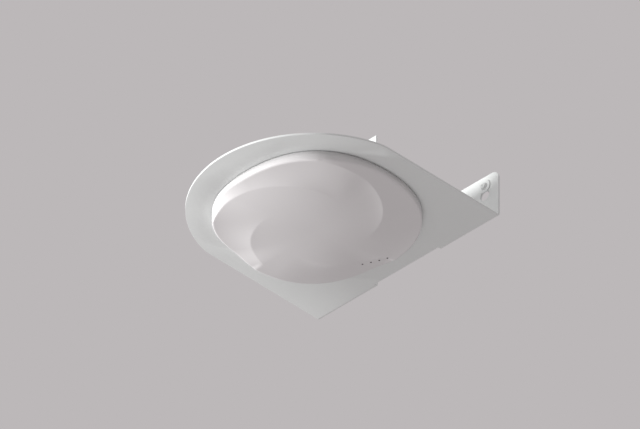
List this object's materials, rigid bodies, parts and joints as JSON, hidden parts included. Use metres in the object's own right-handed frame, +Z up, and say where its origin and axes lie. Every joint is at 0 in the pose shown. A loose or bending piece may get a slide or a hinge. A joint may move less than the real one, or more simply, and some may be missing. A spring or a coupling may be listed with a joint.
{
  "type": "ceiling access point",
  "caption": "Shallow white dome with a swirled face under a finned housing, twist-locked face down in a right-angle wall bracket.",
  "frame": {"origin": "on the wall plane, midway between the two wall screws", "axes": "+X along the wall, +Y into the wall, -Y out into the room, +Z up; the dome faces down"},
  "size_m": [0.28, 0.3095, 0.0875],
  "materials": {
    "white_powder_coat": "fine matte white powder coat on sheet steel",
    "white_plastic": "matte warm-white moulded plastic",
    "zinc_steel": "bright zinc-plated steel",
    "galvanised_plate": "galvanised sheet steel",
    "stainless_steel": "turned stainless steel",
    "die_cast_aluminium": "bead-blasted die-cast aluminium",
    "black_rubber": "black silicone rubber seal",
    "circuit_board": "green solder mask on glass-fibre board",
    "chip_resin": "black moulded resin",
    "tinned_steel": "tin-plated stamped steel",
    "thermal_silicone": "grey-blue filled silicone",
    "component_black": "black heat-proof plastic",
    "brass_strip": "stamped brass strip",
    "led_lens": "clear yellowish diode lens",
    "smoked_plastic": "smoked light-guide plastic",
    "gold_contact": "gold-plated spring contacts"
  },
  "bodies": {
    "bracket": {"bracket": "white_powder_coat", "bridge": "white_powder_coat", "bridge_studs": "zinc_steel", "bridge_nuts": "zinc_steel", "wall_screws": "white_powder_coat", "wall_washers": "white_powder_coat", "mount_plate": "galvanised_plate", "mount_plate_screws": "zinc_steel", "mount_plate_nuts": "zinc_steel", "lock_barrel": "zinc_steel", "lock_spring": "stainless_steel"},
    "lock_plunger": {"lock_plunger": "stainless_steel"},
    "access_point": {"chassis": "die_cast_aluminium", "bayonet_studs": "stainless_steel", "cover": "white_plastic", "cover_gasket": "black_rubber", "cover_screws": "zinc_steel", "main_board": "circuit_board", "board_screws": "zinc_steel", "chips": "chip_resin", "shield_can_left": "tinned_steel", "shield_can_middle": "tinned_steel", "shield_can_right": "tinned_steel", "thermal_pads": "thermal_silicone", "board_parts": "component_black", "antennas_low_band": "brass_strip", "antennas_mid_band": "brass_strip", "antennas_high_band": "brass_strip", "status_leds": "led_lens", "light_pipes": "smoked_plastic", "ethernet_jack_a": "tinned_steel", "ethernet_jack_b": "tinned_steel", "jack_contacts": "gold_contact", "dc_jack": "component_black", "dc_pin": "stainless_steel", "usb_port": "tinned_steel", "console_port": "tinned_steel", "reset_switch": "component_black"},
    "reset_button": {"reset_button": "component_black"}
  },
  "joints": [
    {"name": "access_point_twist", "type": "hinge", "parent": "bracket", "child": "access_point", "pos_m": [0, -0.1475, 0], "axis": [0, 0, 1], "range_deg": [0, 15]},
    {"name": "plunger_lift", "type": "slide", "parent": "bracket", "child": "lock_plunger", "axis": [0, 0, 1], "range_m": [0, 0.0017], "stiffness_N_per_m": 600, "deforming": ["lock_spring"]},
    {"name": "reset_press", "type": "slide", "parent": "access_point", "child": "reset_button", "axis": [0, -1, 0], "range_m": [0, 0.0006], "stiffness_N_per_m": 400}
  ],
  "couplings": [
    {"joint": "plunger_lift", "follows": "access_point_twist", "m_per_rad": 0.00649}
  ]
}
